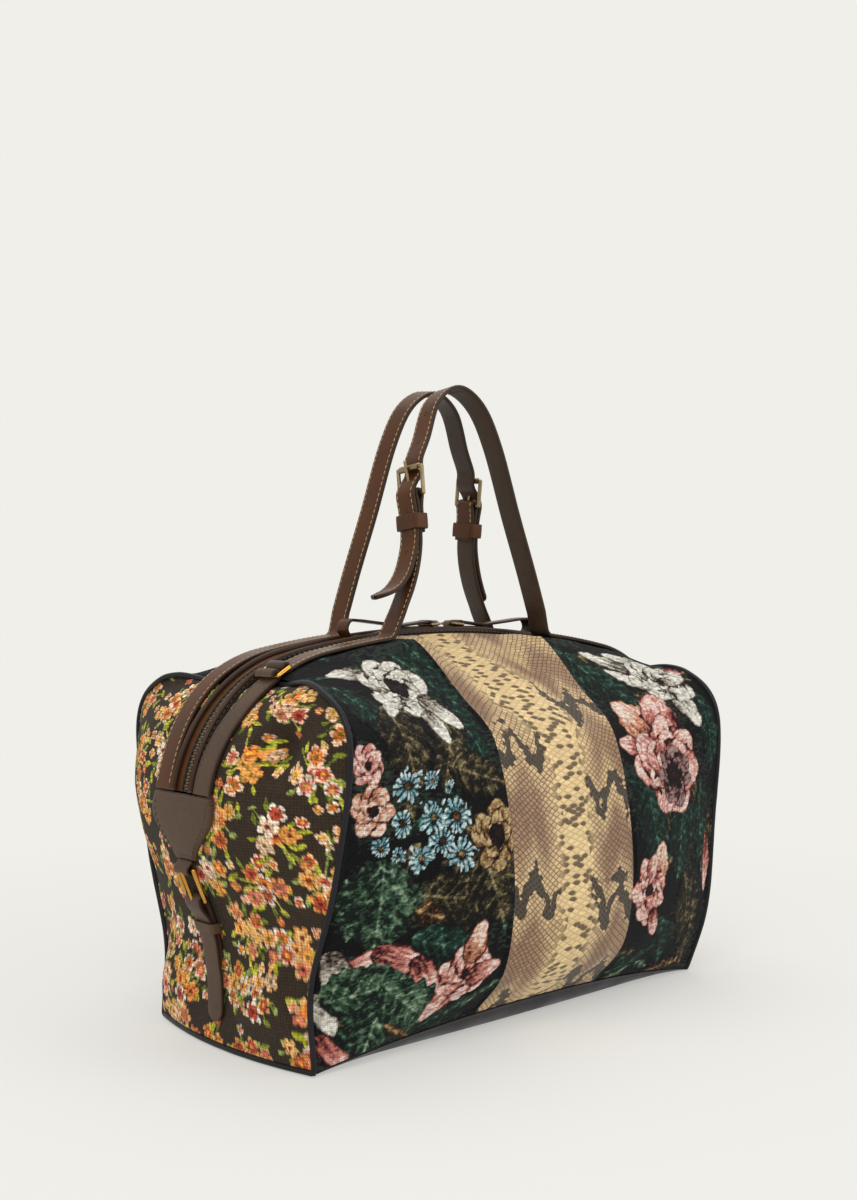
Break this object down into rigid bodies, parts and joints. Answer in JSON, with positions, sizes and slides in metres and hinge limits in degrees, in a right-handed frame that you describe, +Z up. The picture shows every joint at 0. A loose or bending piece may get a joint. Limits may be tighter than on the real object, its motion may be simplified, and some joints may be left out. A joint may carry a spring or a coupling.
{
  "type": "carpet bag",
  "caption": "Soft travel bag with floral jacquard panels, a snakeskin-print centre band, leather base, full-length zip, buckled leather strap handles and buckled end belts.",
  "frame": {"origin": "middle of the base on the floor", "axes": "+X along the length, -Y towards the front, +Z up"},
  "size_m": [0.4958, 0.2912, 0.4896],
  "materials": {
    "jacquard": "black chenille jacquard with woven flowers and leaves",
    "python_band": "scaled snakeskin print, cream with brown and grey",
    "end_cloth": "dark woven cloth with small flowers",
    "black_leather": "smooth black leather",
    "brown_leather": "waxed brown leather with tan stitching",
    "taupe_leather": "taupe brown leather with tan stitching",
    "gold_metal": "polished gold",
    "pale_gold": "satin pale gold",
    "board": "stiff fibre board"
  },
  "bodies": {
    "bag": {"front_panel_left": "jacquard", "front_band": "python_band", "front_panel_right": "jacquard", "back_panel_left": "jacquard", "back_band": "python_band", "back_panel_right": "jacquard", "end_panel_left": "end_cloth", "end_panel_right": "end_cloth", "base_panel": "black_leather", "base_board": "board", "piping_left": "black_leather", "piping_right": "black_leather", "zip_chain": "gold_metal", "zip_facing_front": "brown_leather", "zip_facing_back": "brown_leather", "end_tab_left": "taupe_leather", "end_tab_right": "taupe_leather", "long_run_front": "brown_leather", "long_run_back": "brown_leather", "end_strap_front": "taupe_leather", "end_strap_back": "taupe_leather", "buckle_run_front": "brown_leather", "buckle_run_back": "brown_leather", "shoulder_ring_front": "gold_metal", "shoulder_ring_back": "gold_metal", "end_chape_left": "taupe_leather", "end_chape_right": "taupe_leather", "end_buckle_left": "gold_metal", "end_buckle_right": "gold_metal", "end_prong_left": "gold_metal", "end_prong_right": "gold_metal", "end_belt_left": "taupe_leather", "end_belt_right": "taupe_leather", "end_keeper_left": "taupe_leather", "end_keeper_right": "taupe_leather"},
    "front_handle": {"long_strap_front": "brown_leather", "buckle_strap_front": "brown_leather", "buckle_frame_front": "pale_gold", "buckle_roller_front": "pale_gold", "buckle_prong_front": "pale_gold", "keeper_front": "brown_leather"},
    "back_handle": {"long_strap_back": "brown_leather", "buckle_strap_back": "brown_leather", "buckle_frame_back": "pale_gold", "buckle_roller_back": "pale_gold", "buckle_prong_back": "pale_gold", "keeper_back": "brown_leather"},
    "left_slider": {"slider_left": "gold_metal"},
    "right_slider": {"slider_right": "gold_metal"},
    "left_pull": {"pull_ring_left": "gold_metal", "pull_loop_left": "taupe_leather"},
    "right_pull": {"pull_ring_right": "gold_metal", "pull_loop_right": "taupe_leather"}
  },
  "joints": [
    {"name": "handle_front_swing", "type": "hinge", "parent": "bag", "child": "front_handle", "pos_m": [0, -0.0335, 0.308], "axis": [1, 0, 0], "range_deg": [0, 90]},
    {"name": "handle_back_swing", "type": "hinge", "parent": "bag", "child": "back_handle", "pos_m": [0, 0.0335, 0.308], "axis": [-1, 0, 0], "range_deg": [0, 90]},
    {"name": "slider_left_travel", "type": "hinge", "parent": "bag", "child": "left_slider", "pos_m": [0, 0, -0.509], "axis": [0, -1, 0], "range_deg": [0, 9]},
    {"name": "slider_right_travel", "type": "hinge", "parent": "bag", "child": "right_slider", "pos_m": [0, 0, -0.509], "axis": [0, 1, 0], "range_deg": [0, 9]},
    {"name": "pull_left_flip", "type": "hinge", "parent": "left_slider", "child": "left_pull", "pos_m": [-0.00908, 0, 0.29855], "axis": [0, 1, 0], "range_deg": [0, 85]},
    {"name": "pull_right_flip", "type": "hinge", "parent": "right_slider", "child": "right_pull", "pos_m": [0.00908, 0, 0.29855], "axis": [0, -1, 0], "range_deg": [0, 85]}
  ]
}
